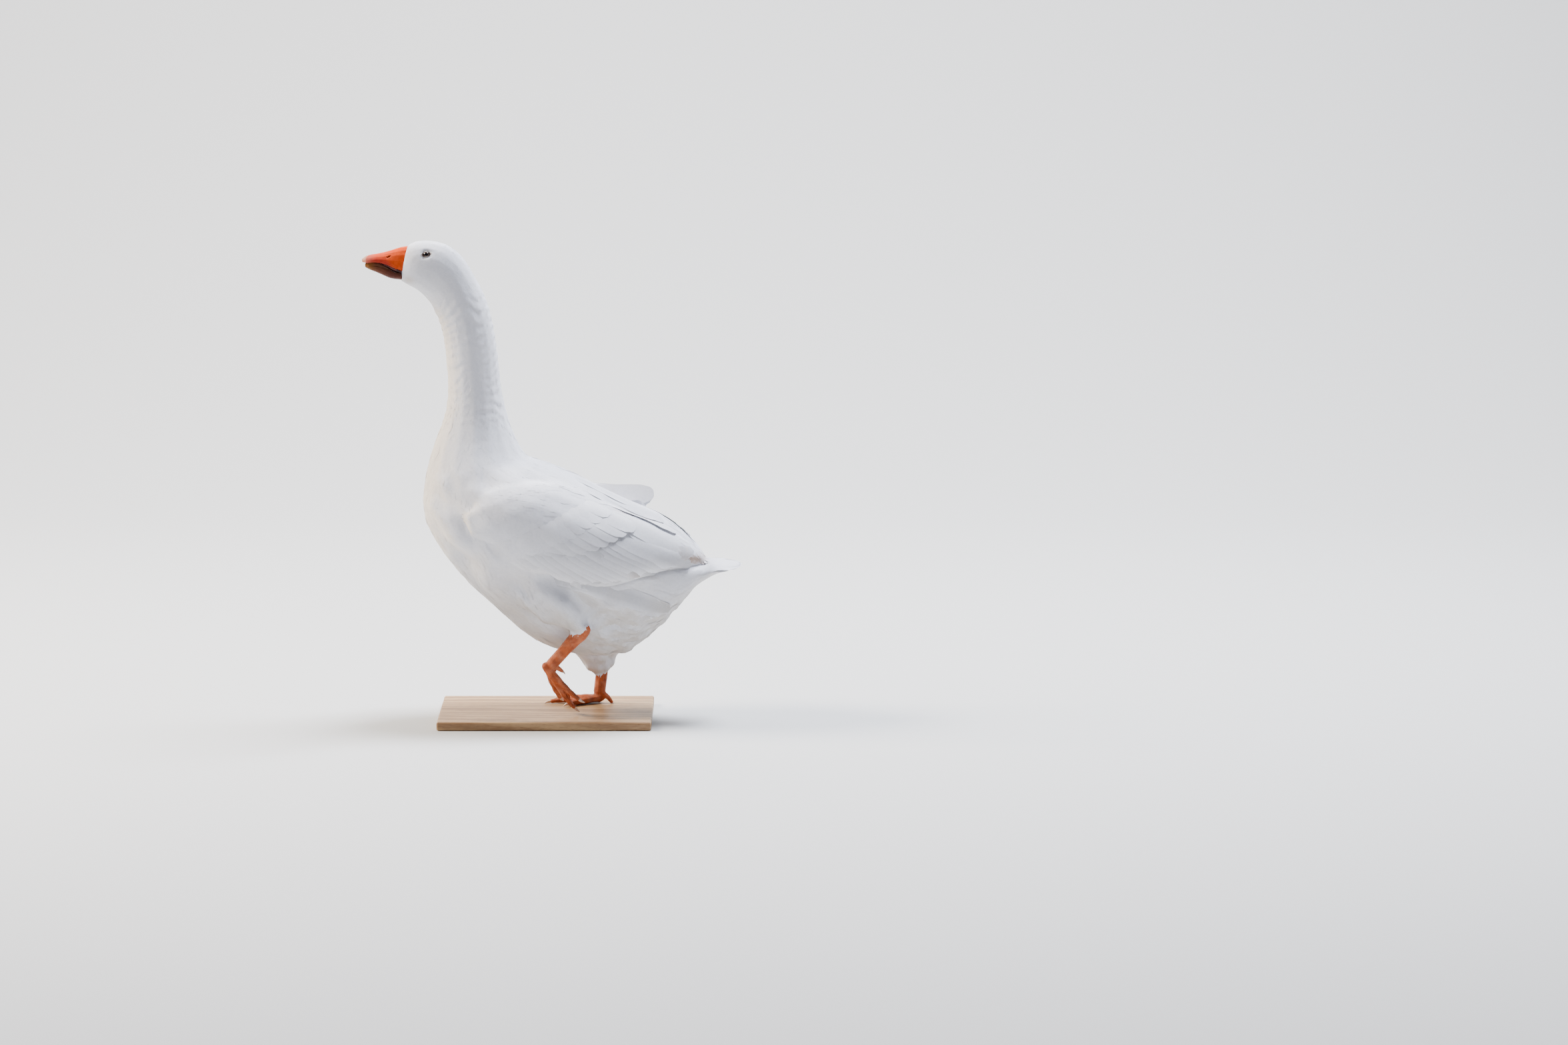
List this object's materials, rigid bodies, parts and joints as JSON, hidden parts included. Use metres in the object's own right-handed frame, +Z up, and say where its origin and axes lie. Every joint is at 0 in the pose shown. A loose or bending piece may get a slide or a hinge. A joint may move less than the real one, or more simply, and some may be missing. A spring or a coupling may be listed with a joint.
{
  "type": "domestic goose",
  "caption": "White domestic goose walking with one foot lifted, neck raised and wings folded, as a still figure on a flat base.",
  "frame": {"origin": "middle of the bounding box in plan, at the underside of the base", "axes": "+Z up, the goose walks and looks along -X, its left side is towards -Y"},
  "size_m": [0.6016, 0.237, 0.7686],
  "materials": {
    "plumage": "soft white feathers",
    "leg_skin": "orange scaled skin",
    "bill_horn": "smooth orange skin over horn",
    "claw_horn": "pale horn",
    "tongue_skin": "moist pink skin",
    "eye": "wet dark eye",
    "base_wood": "oiled wood"
  },
  "bodies": {
    "root": {"head": "plumage", "neck": "plumage", "trunk": "plumage", "tail": "plumage", "wing_left": "plumage", "wing_right": "plumage", "thigh_left": "plumage", "thigh_right": "plumage", "shank_left": "leg_skin", "shank_right": "leg_skin", "foot_left": "leg_skin", "foot_right": "leg_skin", "claw_inner_left": "claw_horn", "claw_middle_left": "claw_horn", "claw_outer_left": "claw_horn", "claw_hind_left": "claw_horn", "claw_inner_right": "claw_horn", "claw_middle_right": "claw_horn", "claw_outer_right": "claw_horn", "claw_hind_right": "claw_horn", "bill_upper": "bill_horn", "bill_lower": "bill_horn", "tongue": "tongue_skin", "eye_left": "eye", "eye_right": "eye", "stand_base": "base_wood"}
  },
  "joints": []
}
